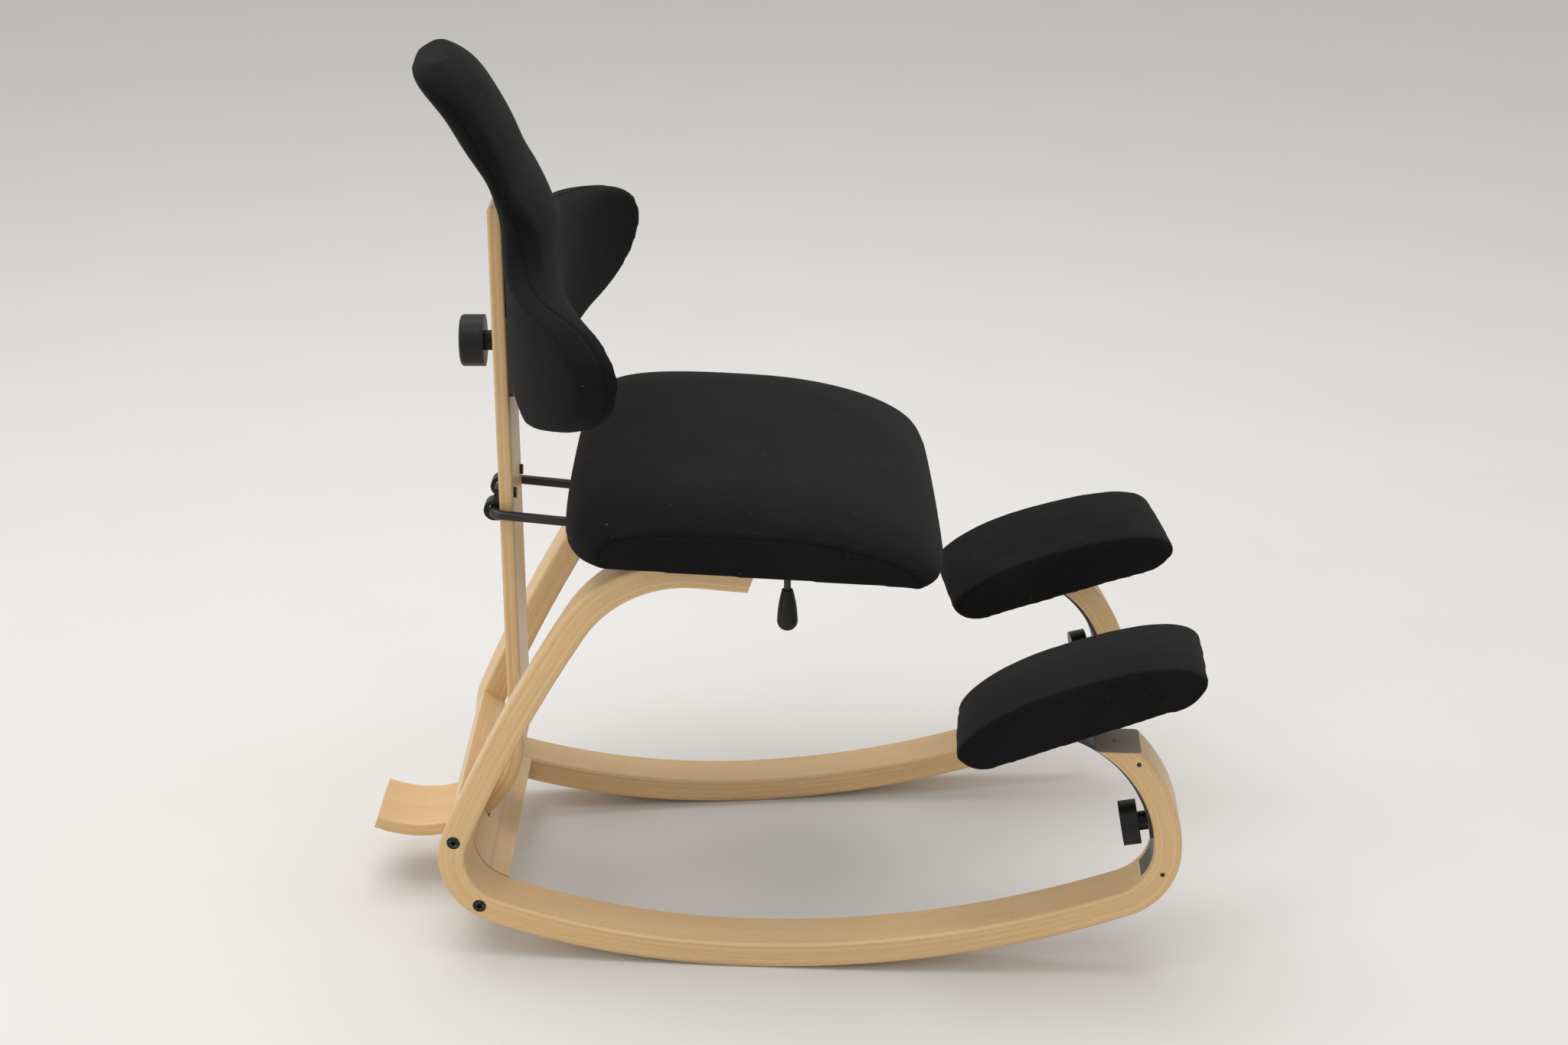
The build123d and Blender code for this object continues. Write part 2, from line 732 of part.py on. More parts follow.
with BuildPart() as lever_grip:
    grip_plane = Plane(origin=(lever_x, lever_hand_y, 0), x_dir=(1, 0, 0), z_dir=(0, -1, 0))
    with BuildSketch(grip_plane):
        with BuildLine():
            Line((0, grip_low_z), (0, grip_top_z))
            Line((0, grip_top_z), (grip_neck / 2, grip_top_z))
            ThreePointArc(
                (grip_neck / 2, grip_top_z),
                (grip_dia * 0.44, (grip_top_z + grip_low_z) / 2 + 4),
                (grip_dia / 2, grip_low_z + grip_dia / 2),
            )
            CenterArc((0, grip_low_z + grip_dia / 2), grip_dia / 2, -90, 90)
        make_face()
    revolve(axis=Axis((lever_x, lever_hand_y, 0), (0, 0, 1)))
    with BuildSketch(Plane.XY.offset(grip_top_z - grip_socket)):
        with Locations((lever_x, lever_hand_y)):
            Circle(lever_dia / 2)
    extrude(amount=2 * grip_socket, mode=Mode.SUBTRACT)

# Backrest clamp
clamp_axis = Axis((0, 0, clamp_z), (1, 0, 0))
plate_rear = post_front + plate_gap
plate_front = plate_rear + plate_thick
washer_front = post_rear - running
hub_front = washer_front - washer_thick
with BuildPart() as clamp_bolt:
    with BuildSketch(Plane.YZ.offset(post_rear)):
        with Locations((0, clamp_z)):
            Rectangle(slot_width - 2 * running, neck_tall)
    extrude(amount=post_thick)
    with BuildSketch(Plane.YZ.offset(plate_front + running)):
        with Locations((0, clamp_z)):
            Circle(clamp_head / 2)
    extrude(amount=clamp_head_deep)
    with BuildSketch(Plane.YZ.offset(plate_front + running)):
        with Locations((0, clamp_z)):
            Circle(clamp_dia / 2)
    extrude(amount=hub_front - hub_long - back_knob_long * 0.8 - plate_front)

with BuildPart() as clamp_washer:
    with BuildSketch(Plane.YZ.offset(washer_front)):
        with Locations((0, clamp_z)):
            Circle(washer_dia / 2)
            Circle(clamp_dia / 2, mode=Mode.SUBTRACT)
    extrude(amount=-washer_thick)

with BuildPart() as back_knob:
    with BuildSketch(Plane.YZ.offset(hub_front - running)):
        with Locations((0, clamp_z)):
            Circle(hub_dia / 2)
    extrude(amount=-hub_long)
    with BuildSketch(Plane.YZ.offset(hub_front - running - hub_long)):
        with Locations((0, clamp_z)):
            Circle(back_knob_dia / 2)
    extrude(amount=-back_knob_long)
    fillet(back_knob.edges().group_by(Axis.X)[0], 4)
    with BuildSketch(Plane.YZ.offset(hub_front + 1)):
        with Locations((0, clamp_z)):
            Circle(clamp_dia / 2 + running)
    extrude(amount=-hub_long - back_knob_long * 0.85, mode=Mode.SUBTRACT)

with BuildPart() as flat_plate:
    with BuildSketch(Plane.YZ.offset(plate_rear)):
        with Locations((0, clamp_z)):
            RectangleRounded(plate_wide, plate_tall, plate_corner)
            Circle(clamp_dia / 2 + running, mode=Mode.SUBTRACT)
    extrude(amount=plate_thick)

# Backrest cushion: level sections of height, half width, shrink of the rear and of the front
back_rear = plate_rear + 0.7
back_axis_x = back_rear + back_thick / 2 - back_bend
back_levels = (
    (572, 60, 19, 21),
    (578, 104, 11, 12),
    (590, 146, 4, 5),
    (610, 190, 0, 0),
    (638, 220, 0, 0),
    (668, 229, 0, 0),
    (698, 219, 0, 0),
    (715, 190, 0, 2),
    (723, 148, 0, 4),
    (730, 108, 0, 3),
    (743, 83, 1, 0),
    (778, 71, 11, -1),
    (824, 67, 18, -1),
    (868, 66, 14, -6),
    (894, 63, 8, -6),
    (910, 56, 5, -3),
    (921, 45, 11, 4),
    (929, 30, 22, 12),
)


def back_face(z, radius):
    """How far forward a face of the backrest is: upright, bent back, then straight at its lean."""
    rise = max(z - back_bend_z, 0)
    bent = min(rise, radius * sin(radians(back_lean)))
    return back_axis_x + sqrt(radius**2 - bent**2) - (rise - bent) * tan(radians(back_lean))


with BuildPart() as straight_back:
    for z, half, rear_in, front_in in back_levels:
        rear = back_face(z, back_bend - back_thick / 2) + rear_in
        front = back_face(z, back_bend + back_thick / 2) - front_in
        wrap = wing_wrap - sqrt(wing_wrap**2 - half**2)
        share = min(max((half - wing_from) / (wing_full - wing_from), 0), 1)
        slim = (front - rear) / back_thick
        edge = side_round * slim * (1 - share)
        rear_tip = rear + wrap * share + edge
        front_tip = front + (wrap + (wing_depth - back_thick) * slim) * share - edge
        mid_tip = (rear_tip + front_tip) / 2
        with BuildSketch(Plane.XY.offset(z)):
            with BuildLine():
                hold = flat_from * half
                flat = flat_to * half
                Bezier((rear_tip, -half), (rear, -hold), (rear, -flat), (rear, 0))
                Bezier((rear, 0), (rear, flat), (rear, hold), (rear_tip, half))
                ThreePointArc((rear_tip, half), (mid_tip, half + side_bulge), (front_tip, half))
                ThreePointArc((front_tip, half), (front, 0), (front_tip, -half))
                ThreePointArc((front_tip, -half), (mid_tip, -half - side_bulge), (rear_tip, -half))
            make_face()
    loft()
    # Room for the plate, the bolt's head and the post's upper end
    with BuildSketch(Plane.YZ.offset(plate_rear - 1)):
        with Locations((0, clamp_z)):
            RectangleRounded(plate_wide, plate_tall, plate_corner)
    extrude(amount=plate_thick + 1, mode=Mode.SUBTRACT)
    with BuildSketch(Plane.YZ.offset(plate_rear)):
        with Locations((0, clamp_z)):
            Circle(clamp_head / 2 + 0.5)
    extrude(amount=plate_thick + clamp_head_deep + 0.7, mode=Mode.SUBTRACT)
    with BuildSketch(Plane.YZ.offset(back_rear)):
        Polygon(
            (recess_right, recess_low),
            (recess_left_low, recess_low),
            (recess_left_high, recess_high),
            (recess_right, recess_high),
            align=None,
        )
    extrude(amount=-back_thick, mode=Mode.SUBTRACT)

back_plate = flat_plate.part.rotate(clamp_axis, back_turn)
back_cushion = straight_back.part.rotate(clamp_axis, back_turn)

# Knee pads
knee_cos = cos(radians(knee_tilt))
knee_sin = sin(radians(knee_tilt))
knee_x = knee_centre[0] + knee_forward
knee_y = -knee_centre[1] - knee_inset
knee_rise = knee_forward * knee_sin
knee_middle = (knee_x, -knee_y, knee_centre[2] + (knee_plane + knee_rise) / knee_cos)
knee_dir = (knee_cos * cos_toe, -knee_cos * sin_toe, knee_sin)
knee_up = (-knee_sin * cos_toe, knee_sin * sin_toe, knee_cos)
pad_plane = Plane(origin=knee_middle, x_dir=knee_dir, z_dir=knee_up).rotated((-knee_roll, 0, 0))
knee_axis = Axis(knee_centre, outward)
knee_spot = (knee_s, front_low_z)
arm_outer = knee_inner - slide_gap
arm_inner = arm_outer - arm_thick
stem_start = arm_inner - stem_gap
screw_spots = [(mount_back + x, y) for x in mount_screw_x for y in mount_screw_y]

with BuildPart() as knee_rail:
    add(rail_strip)
    with BuildSketch(knob_plane.offset(arm_inner)):
        Circle(stud_dia / 2 + loose)
    extrude(amount=2 * rail_thick + arm_thick, mode=Mode.SUBTRACT)

with BuildPart() as flat_arm:
    with BuildSketch(runner_plane):
        ring_face(knee_spot, arm_inner, arm_outer, arm_low, arm_high)
    extrude(amount=arm_width / 2, both=True)
    with BuildSketch(runner_plane):
        ring_face(knee_spot, arm_inner - arm_thick, arm_outer + arm_thick, arm_slot_low, arm_slot_high)
    extrude(amount=arm_slot / 2, both=True, mode=Mode.SUBTRACT)
    with BuildSketch(pad_plane):
        Rectangle(4 * knee_half_len, 4 * knee_half_wide)
    extrude(amount=2 * knee_half_wide, mode=Mode.SUBTRACT)
    with BuildSketch(pad_plane):
        with Locations(((mount_back + mount_front) / 2, (mount_inner - mount_outer) / 2)):
            RectangleRounded(mount_front - mount_back, mount_inner + mount_outer, mount_corner)
        with Locations(*screw_spots):
            Circle(guide_screw_dia / 2 + loose, mode=Mode.SUBTRACT)
    extrude(amount=-arm_thick)

with BuildPart() as flat_screws:
    with BuildSketch(pad_plane.offset(-arm_thick)):
        with Locations(*screw_spots):
            Circle(guide_screw_head / 2)
    extrude(amount=-screw_head_deep)
    with BuildSketch(pad_plane.offset(-arm_thick)):
        with Locations(*screw_spots):
            Circle(guide_screw_dia / 2)
    extrude(amount=arm_thick + knee_board_thick - 1)

with BuildPart() as flat_board:
    with BuildSketch(pad_plane):
        RectangleRounded(2 * knee_board_half_len, 2 * knee_board_half_wide, knee_board_round)
    extrude(amount=knee_board_thick)
    add(flat_screws.part, mode=Mode.SUBTRACT)

with BuildPart() as flat_pad:
    knee_plan = (knee_half_wide, knee_half_len, (knee_corner, knee_corner))
    knee_stations = pad_stations(knee_steps, *knee_plan, knee_side, knee_crown)
    straight_pad = pillow(knee_middle, (knee_cos, 0, knee_sin), knee_stations, knee_profile, knee_feet)
    level_pad = straight_pad.rotate(Axis(knee_middle, (0, 0, 1)), -toe)
    add(level_pad.rotate(Axis(knee_middle, knee_dir), -knee_roll))
    with BuildSketch(pad_plane):
        RectangleRounded(2 * knee_board_half_len, 2 * knee_board_half_wide, knee_board_round)
    extrude(amount=knee_board_thick, both=True, mode=Mode.SUBTRACT)

with BuildPart() as knee_knob:
    with BuildSketch(knob_plane.offset(stem_start)):
        Circle(stem_dia / 2)
    extrude(amount=-stem_long)
    with BuildSketch(knob_plane.offset(stem_start - stem_long)):
        Circle(knee_knob_dia / 2)
    extrude(amount=-knee_knob_long)
    with BuildSketch(knob_plane.offset(stem_start)):
        Circle(stud_dia / 2)
    extrude(amount=-stem_long - knee_knob_long / 2, mode=Mode.SUBTRACT)

with BuildPart() as knee_stud:
    with BuildSketch(knob_plane.offset(knee_inner + stud_in)):
        Circle(stud_dia / 2)
    extrude(amount=stem_start - stem_long - knee_knob_long / 2 - knee_inner - stud_in)

# Write the pieces
write(runner.part, "runner_right")
write(mirrored(runner.part), "runner_left")
write(rear_panel.part, "rear_panel")
write(panel_bolt.part, "panel_bolts_right")
write(mirrored(panel_bolt.part), "panel_bolts_left")
write(runner_pin.part, "runner_pins_right")
write(mirrored(runner_pin.part), "runner_pins_left")
write(post_pin.part, "post_pin")
write(back_post.part, "back_post")
write(back_rod.part, "back_rod")
write(rod_saddle.part, "rod_saddle")
write(saddle_bolts.part, "saddle_bolts")
write(rod_guide.part, "rod_guide_right")
write(mirrored(rod_guide.part), "rod_guide_left")
write(guide_screw.part, "guide_screws_right")
write(mirrored(guide_screw.part), "guide_screws_left")
write(seat_board.part, "seat_board")
write(seat_cushion.part, "seat_cushion")
write(seat_bolt.part, "seat_bolts_right")
write(mirrored(seat_bolt.part), "seat_bolts_left")
write(lever_bracket.part, "lever_bracket")
write(lever_shaft.part, "lever_shaft")
write(lever_cams.part, "lever_cams")
write(lever_grip.part, "lever_grip")
write(clamp_bolt.part, "clamp_bolt")
write(clamp_washer.part, "clamp_washer")
write(back_knob.part, "back_knob")
write(back_plate, "back_plate")
write(back_cushion, "back_cushion")
for side, angle in knee_set.items():
    fixed = {"knee_rail": knee_rail.part, "knee_knob": knee_knob.part, "knee_stud": knee_stud.part}
    turned = {"knee_arm": flat_arm.part, "knee_screws": flat_screws.part}
    turned.update({"knee_board": flat_board.part, "knee_pad": flat_pad.part})
    pieces = dict(fixed)
    for name, shape in turned.items():
        pieces[name] = shape.rotate(knee_axis, angle)
    for name, shape in pieces.items():
        if side == "left":
            shape = mirrored(shape)
        write(shape, f"{name}_{side}")
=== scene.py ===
import json
from math import asin, cos, exp, pi, radians, sin, sqrt

import bpy
from mathutils import Matrix, Vector
from mathutils.bvhtree import BVHTree
from mathutils.kdtree import KDTree


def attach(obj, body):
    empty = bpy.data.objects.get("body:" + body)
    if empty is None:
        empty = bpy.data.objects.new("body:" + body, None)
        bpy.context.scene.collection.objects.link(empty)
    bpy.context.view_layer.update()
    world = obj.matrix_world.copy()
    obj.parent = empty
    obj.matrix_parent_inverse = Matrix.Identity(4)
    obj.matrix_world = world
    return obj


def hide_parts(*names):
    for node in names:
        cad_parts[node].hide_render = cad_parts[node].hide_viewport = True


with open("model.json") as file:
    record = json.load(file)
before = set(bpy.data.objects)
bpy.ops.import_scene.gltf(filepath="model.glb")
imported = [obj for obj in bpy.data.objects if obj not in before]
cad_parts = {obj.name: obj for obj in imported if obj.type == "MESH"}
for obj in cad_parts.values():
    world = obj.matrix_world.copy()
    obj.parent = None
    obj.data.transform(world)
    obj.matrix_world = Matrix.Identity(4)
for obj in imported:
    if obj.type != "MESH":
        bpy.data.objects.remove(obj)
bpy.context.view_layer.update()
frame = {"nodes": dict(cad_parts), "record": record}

nodes = frame["nodes"]
MM = 0.001
TO_MM = 1000.0

# Runner, in millimetres: the arcs of its centre line
TOE = radians(4.38)
RUNNER_Y = 187.0
HALF_THICK = 14.0
FRONT_REACH = 370.0
FRONT_LOW = 66.0
FRONT_HIGH = 145.0
SOLE_FRONT = 1100.0
SOLE_REAR = 850.0
REAR_REACH = 239.0
REAR_RADIUS = 62.0
LEG_RADIUS = 1720.0
SHOULDER = 141.0
LEG_START = radians(66.0)
LEG_END = radians(57.0)
ARM = radians(-4.0)
# Heights that tell its front bend, its sole and its shoulder apart, and its cut front end
FRONT_BELOW = 300.0
SOLE_BELOW = 200.0
SHOULDER_ABOVE = 250.0
END_CUT = (261.3, 261.8)

# Rear panel: the middle of its bend
PANEL_BEND = (-236.2, 111.0)

# Post: its upright, its bend and tail, and the room that the backrest leaves for it
POST_X = -245.0
POST_BEND = 107.0
POST_BEND_Z = 180.0
TAIL = 130.0
POST_HALF = 49.5
POST_REACH = 793.0

# Seat and knee pads
SEAT_MIDDLE = Vector((13.0, 0.0, 450.53)) * MM
SEAT_DIR = Vector((0.99755, 0.0, -0.06995))
# Half width, back and front at the sides, height of the side panel, and the profile's shares
SEAT_SHAPE = (0.247, -0.150, 0.162, 0.042, (0.3, 0.9, 0.16, 0.5, 0.8, 0.5, 0.1))
KNEE_SHAPE = (0.068, -0.126, 0.126, 0.054, (0.4, 0.62, 0.17, 0.44, 0.79, 0.78, 0.3))
KNEE_SPOT = (360.0, -202.0)
KNEE_HUB = Vector((290.15, -209.2, 149.5))
KNEE_TILT = radians(16.6)
KNEE_ROLL = radians(3.5)
KNEE_PLANE = 104.5
KNEE_SET = {"right": radians(4.6), "left": radians(-1.3)}

# Backrest: its turn on the clamp, its rear face, thickness and lean
BACK_TURN = radians(7.0)
CLAMP_Z = 619.0 * MM
BACK_REAR = -236.5
BACK_THICK = 56.0
BACK_BEND = 176.0
BACK_BEND_Z = 705.0
BACK_LEAN = radians(27.0)
# Height, half width, and how far its rear and its front are drawn in
BACK_LEVELS = (
    (572, 60, 19, 21),
    (578, 104, 11, 12),
    (590, 146, 4, 5),
    (610, 190, 0, 0),
    (638, 220, 0, 0),
    (668, 229, 0, 0),
    (698, 219, 0, 0),
    (715, 190, 0, 2),
    (723, 148, 0, 4),
    (730, 108, 0, 3),
    (743, 83, 1, 0),
    (778, 71, 11, -1),
    (824, 67, 18, -1),
    (868, 66, 14, -6),
    (894, 63, 8, -6),
    (910, 56, 5, -3),
    (921, 45, 11, 4),
    (929, 30, 22, 12),
)
WING_WRAP = 375.0
# Its seam: on the middle of the column, near the front of the wings, and across the back of the head
SEAM_OUT = 7.0
WING_SEAM_FORWARD = 6.0
COLUMN_HALF = 70.0
WING_BLEND = 110.0
HEAD_TURN_Z = 900.0
HEAD_SEAM_DEPTH = 0.3
HEAD_SEAM_Z = 920.0
HEAD_SEAM_HALF = 36.0
HEAD_SEAM_IN = 10.0

# Sewing, in metres: a seam's groove and its reach, the cloth beside it that is made finer,
# how far the seam tells, and the moments that the pads take to swell
GROOVE = 0.0009
GROOVE_REACH = 0.0018
FINE_BESIDE = 0.006
SEAM_SPREAD = 0.03
SWELL_MOMENTS = 20


class Wire:
    """A socket of a finish, so that shader maths reads as plain sums."""

    def __init__(self, finish, socket):
        self.finish = finish
        self.socket = socket

    def maths(self, operation, *values, swap=False):
        values = (self, *values)
        if swap:
            values = values[::-1]
        return self.finish.node("ShaderNodeMath", {"operation": operation}, dict(enumerate(values)))

    def __add__(self, other):
        return self.maths("ADD", other)

    def __radd__(self, other):
        return self.maths("ADD", other)

    def __sub__(self, other):
        return self.maths("SUBTRACT", other)

    def __rsub__(self, other):
        return self.maths("SUBTRACT", other, swap=True)

    def __mul__(self, other):
        return self.maths("MULTIPLY", other)

    def __truediv__(self, other):
        return self.maths("DIVIDE", other)

    def __pow__(self, other):
        return self.maths("POWER", other)

    def __abs__(self):
        return self.maths("ABSOLUTE")

    def __gt__(self, other):
        return self.maths("GREATER_THAN", other)

    def __lt__(self, other):
        return self.maths("LESS_THAN", other)


class Finish:
    """A material of the chair and its nodes."""

    def __init__(self, name, **constants):
        self.material = bpy.data.materials.new(name)
        self.material.use_nodes = True
        self.tree = self.material.node_tree
        self.tree.nodes.clear()
        shader = self.node("ShaderNodeBsdfPrincipled", {}, constants)
        self.shader = shader.socket.node
        self.node("ShaderNodeOutputMaterial", {}, {"Surface": shader}, out=None)

    def node(self, kind, settings, values, out=0):
        """A node of this type: its settings first, then the values or links of its sockets."""
        made = self.tree.nodes.new(kind)
        for name, value in settings.items():
            setattr(made, name, value)
        for name, value in values.items():
            if isinstance(value, Wire):
                self.tree.links.new(value.socket, made.inputs[name])
            else:
                made.inputs[name].default_value = value
        return None if out is None else Wire(self, made.outputs[out])

    def feed(self, **links):
        for name, wire in links.items():
            self.tree.links.new(wire.socket, self.shader.inputs[name.replace("_", " ")])

    def place(self):
        """The object's coordinates, in millimetres."""
        spot = self.node("ShaderNodeTexCoord", {}, {}, out="Object")
        split = self.node("ShaderNodeSeparateXYZ", {}, {0: spot})
        sockets = split.socket.node.outputs
        return [Wire(self, sockets[axis]) * TO_MM for axis in "XYZ"]

    def vector(self, x, y, z):
        return self.node("ShaderNodeCombineXYZ", {}, {0: x, 1: y, 2: z})

    def noise(self, vector, scale, detail=2.0, rough=0.5):
        values = {"Vector": vector, "Scale": scale, "Detail": detail, "Roughness": rough}
        return self.node("ShaderNodeTexNoise", {}, values)

    def smooth(self, value, low, high):
        """A soft step from 0 to 1 as a value goes from low to high."""
        values = {0: value, 1: low, 2: high, 3: 0.0, 4: 1.0}
        return self.node("ShaderNodeMapRange", {"interpolation_type": "SMOOTHSTEP"}, values)

    def mix(self, share, first, second):
        settings = {"data_type": "RGBA", "blend_type": "MIX", "clamp_factor": True}
        return self.node("ShaderNodeMix", settings, {0: share, 6: first, 7: second}, out=2)

    def bump(self, height, strength, depth, under=None):
        values = {"Height": height, "Strength": strength, "Distance": depth}
        if under is not None:
            values["Normal"] = under
        return self.node("ShaderNodeBump", {}, values, out="Normal")


def rgb(red, green, blue):
    return (red, green, blue, 1.0)


# Beech, laid up from veneers that follow each bent piece
CLEAR_OF_FLOOR = 400.0


def arc_of(s, z, centre, radius):
    """How far outside its arc a point lies."""
    across = s - centre[0]
    up = z - centre[1]
    reach = (across * across + up * up) ** 0.5
    return across, up, reach - radius


def along_runner(finish):
    """Place along a runner, depth through its veneers, across its width, height and its cut end."""
    x, y, z = finish.place()
    side = abs(y) - RUNNER_Y
    s = x * cos(TOE) + side * sin(TOE)
    out = side * cos(TOE) - x * sin(TOE)
    low_front = SOLE_FRONT - sqrt((SOLE_FRONT - HALF_THICK - FRONT_LOW) ** 2 - FRONT_REACH**2)
    low_rear = SOLE_REAR - sqrt((SOLE_REAR - HALF_THICK - REAR_RADIUS) ** 2 - REAR_REACH**2)
    front_turn = asin(FRONT_REACH / (SOLE_FRONT - HALF_THICK - FRONT_LOW))
    rear_turn = asin(REAR_REACH / (SOLE_REAR - HALF_THICK - REAR_RADIUS))
    knee = (FRONT_REACH + FRONT_LOW - FRONT_HIGH, low_front)
    rear = (-REAR_REACH, low_rear)
    leg_from = (rear[0] - REAR_RADIUS * sin(LEG_START), rear[1] + REAR_RADIUS * cos(LEG_START))
    leg = (leg_from[0] + LEG_RADIUS * sin(LEG_START), leg_from[1] - LEG_RADIUS * cos(LEG_START))
    shoulder_from = (leg[0] - LEG_RADIUS * sin(LEG_END), leg[1] + LEG_RADIUS * cos(LEG_END))
    shoulder = (
        shoulder_from[0] + SHOULDER * sin(LEG_END),
        shoulder_from[1] - SHOULDER * cos(LEG_END),
    )
    arm_from = (shoulder[0] - SHOULDER * sin(ARM), shoulder[1] + SHOULDER * cos(ARM))

    def turned(first, second):
        return first.maths("ARCTAN2", second)

    across, up, depth_sole = arc_of(s, z, (0.0, SOLE_FRONT), SOLE_FRONT - HALF_THICK)
    run_sole = turned(across, up * -1.0) * (SOLE_FRONT - HALF_THICK)
    sole_end = (SOLE_FRONT - HALF_THICK) * front_turn
    across, up, depth_low = arc_of(s, z, (FRONT_REACH, low_front), FRONT_LOW)
    run_low = turned(across, up * -1.0) * FRONT_LOW + (sole_end - FRONT_LOW * front_turn)
    low_end = sole_end + FRONT_LOW * (pi / 2 - front_turn)
    across, up, depth_high = arc_of(s, z, knee, FRONT_HIGH)
    run_high = turned(up, across) * FRONT_HIGH + low_end
    across, up, depth_back = arc_of(s, z, (0.0, SOLE_REAR), SOLE_REAR - HALF_THICK)
    run_back = turned(across, up * -1.0) * (SOLE_REAR - HALF_THICK)
    back_end = -(SOLE_REAR - HALF_THICK) * rear_turn
    across, up, depth_rear = arc_of(s, z, rear, REAR_RADIUS)
    run_rear = turned(across * -1.0, up * -1.0) * -REAR_RADIUS + (back_end + REAR_RADIUS * rear_turn)
    rear_end = back_end - REAR_RADIUS * (pi - LEG_START - rear_turn)
    across, up, depth_leg = arc_of(s, z, leg, LEG_RADIUS)
    run_leg = turned(across * -1.0, up) * LEG_RADIUS + (rear_end - LEG_RADIUS * LEG_START)
    leg_end = rear_end - LEG_RADIUS * (LEG_START - LEG_END)
    across, up, depth_turn = arc_of(s, z, shoulder, SHOULDER)
    run_turn = turned(across * -1.0, up) * SHOULDER + (leg_end - SHOULDER * LEG_END)
    turn_end = leg_end - SHOULDER * (LEG_END - ARM)
    across = s - arm_from[0]
    up = z - arm_from[1]
    depth_arm = up * cos(ARM) - across * sin(ARM)
    run_arm = turn_end - (across * cos(ARM) + up * sin(ARM))

    def past(centre, heading):
        return ((s - centre[0]) * cos(heading) + (z - centre[1]) * sin(heading)) > 0.0

    front = (s > 0.0) * (z < FRONT_BELOW)
    high = front * (z > low_front)
    low = front * (1.0 - high) * (past((0.0, SOLE_FRONT), front_turn))
    sole = front * (1.0 - high) * (1.0 - low)
    back_side = 1.0 - front
    off_sole = past((0.0, SOLE_REAR), rear_turn * -1.0) * (z < SOLE_BELOW)
    on_leg = past(rear, LEG_START)
    on_turn = past(shoulder, LEG_END) * (z > SHOULDER_ABOVE)
    on_arm = on_turn * past(shoulder, ARM)
    back = back_side * off_sole
    off_back = back_side * (1.0 - off_sole)
    bend = off_back * (1.0 - on_leg)
    straight = off_back * on_leg * (1.0 - on_turn)
    crook = off_back * on_turn * (1.0 - on_arm)
    arm = off_back * on_arm
    parts = (
        (sole, depth_sole, run_sole),
        (low, depth_low, run_low),
        (high, depth_high, run_high),
        (back, depth_back, run_back),
        (bend, depth_rear, run_rear),
        (straight, depth_leg, run_leg),
        (crook, depth_turn, run_turn),
        (arm, depth_arm, run_arm),
    )
    depth = sum((mask * value for mask, value, _ in parts[1:]), parts[0][0] * parts[0][1])
    run = sum((mask * value for mask, _, value in parts[1:]), parts[0][0] * parts[0][2])
    cut_end = front * finish.smooth(z, *END_CUT)
    return run, depth, out, z, cut_end


def along_post(finish):
    """The same along the post, well clear of the floor and with no cut end to show."""
    x, y, z = finish.place()
    bent = z < POST_BEND_Z
    tail = bent * (x < POST_X - POST_BEND)
    curve = bent * (1.0 - tail)
    upright = 1.0 - bent
    centre = (POST_X - POST_BEND, POST_BEND_Z)
    across, up, depth_curve = arc_of(x, z, centre, POST_BEND)
    run_curve = up.maths("ARCTAN2", across) * POST_BEND + POST_BEND_Z
    across, up, depth_tail = arc_of(x, z, (centre[0], POST_BEND_Z - POST_BEND + TAIL), TAIL)
    run_tail = across + (POST_BEND_Z - POST_BEND * pi / 2)
    depth = upright * (x - POST_X) + curve * depth_curve + tail * depth_tail
    run = upright * z + curve * run_curve + tail * run_tail
    return run, depth, y, z + CLEAR_OF_FLOOR, 0.0


def along_panel(finish):
    """The same across the rear panel."""
    x, y, z = finish.place()
    _, up, depth = arc_of(x, z, PANEL_BEND, REAR_RADIUS)
    return y, depth, up, z + CLEAR_OF_FLOOR, 0.0


